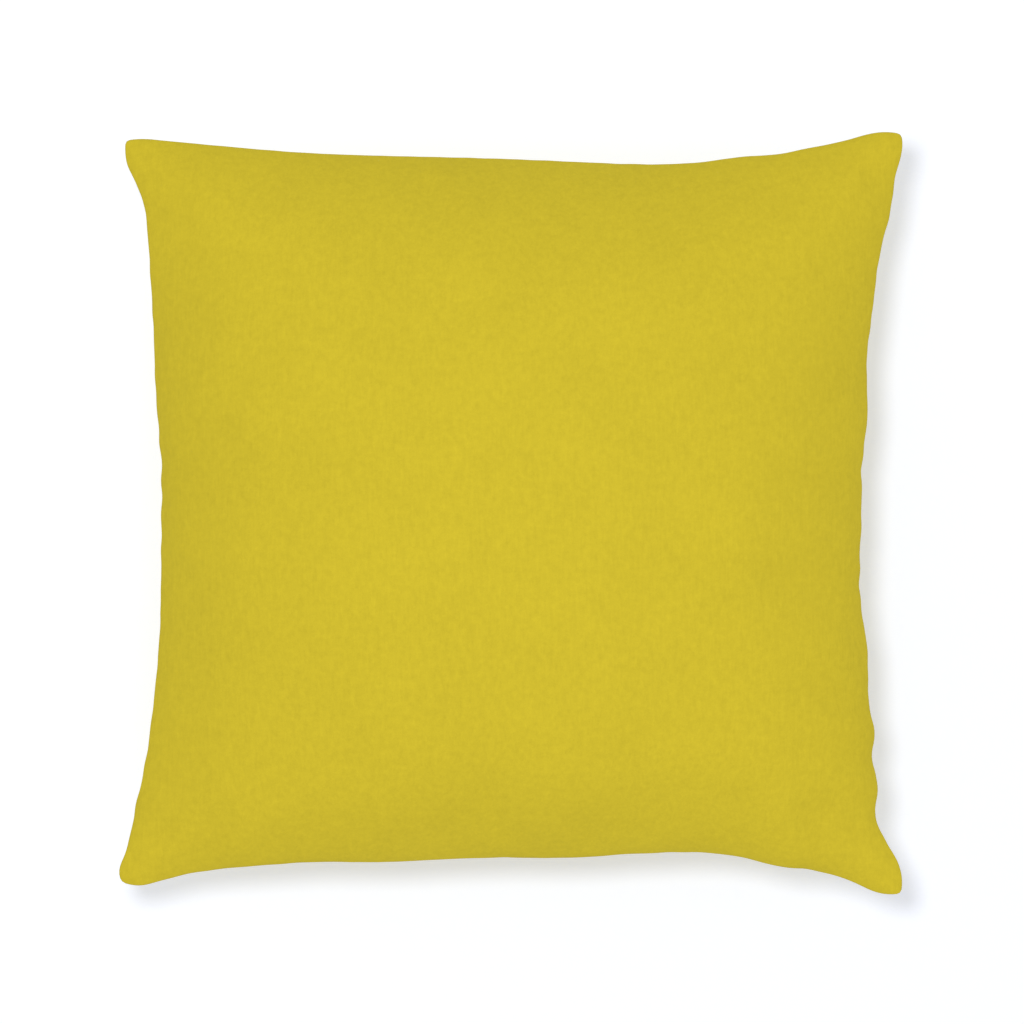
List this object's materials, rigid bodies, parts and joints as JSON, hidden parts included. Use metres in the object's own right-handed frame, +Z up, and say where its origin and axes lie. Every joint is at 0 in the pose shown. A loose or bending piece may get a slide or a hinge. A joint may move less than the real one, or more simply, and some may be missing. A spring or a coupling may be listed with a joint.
{
  "type": "throw pillow",
  "caption": "Square throw pillow: a plain soft suede-like cover with knife-edge seams, a concealed zip in one seam and a removable fibre-filled insert.",
  "frame": {"origin": "middle of the flat patch that the pillow rests on, under its centre", "axes": "+Z up through the front panel, the thinnest way; +X along the zip, towards the closed end; the zip is in the -Y seam"},
  "size_m": [0.447, 0.437, 0.143],
  "materials": {
    "cover_fabric": "matt short-nap suede cloth",
    "sewing_thread": "satin thread",
    "zip_tape": "woven tape",
    "zip_coil": "satin nylon",
    "zip_metal": "plated",
    "insert_fabric": "matt spunbonded cloth",
    "insert_thread": "satin thread",
    "fibre_fill": "loose fibre"
  },
  "bodies": {
    "pillow": {"cover_front_panel": "cover_fabric", "cover_back_panel": "cover_fabric", "cover_seam_needle_thread": "sewing_thread", "cover_seam_bobbin_thread": "sewing_thread", "cover_overlock_thread": "sewing_thread", "zipper_tape_front": "zip_tape", "zipper_tape_back": "zip_tape", "zipper_coil_front": "zip_coil", "zipper_coil_back": "zip_coil", "zipper_stitches_front": "sewing_thread", "zipper_stitches_back": "sewing_thread", "zipper_top_stop_front": "zip_metal", "zipper_top_stop_back": "zip_metal", "zipper_bottom_stop": "zip_metal", "insert_front_panel": "insert_fabric", "insert_back_panel": "insert_fabric", "insert_seam_needle_thread": "insert_thread", "insert_seam_bobbin_thread": "insert_thread", "insert_closing_stitches": "insert_thread", "insert_fibre_fill": "fibre_fill"},
    "zip_slider": {"zipper_slider": "zip_metal"},
    "zip_pull": {"zipper_pull_tab": "zip_metal"}
  },
  "joints": [
    {"name": "zip_slide", "type": "slide", "parent": "pillow", "child": "zip_slider", "axis": [1, 0, 0], "range_m": [-0.2924, 0], "deforming": ["zipper_coil_front", "zipper_coil_back"]},
    {"name": "pull_swing", "type": "hinge", "parent": "zip_slider", "child": "zip_pull", "pos_m": [0.1462, -0.19415, 0.065], "axis": [0, 0, 1], "range_deg": [0, 180]}
  ]
}
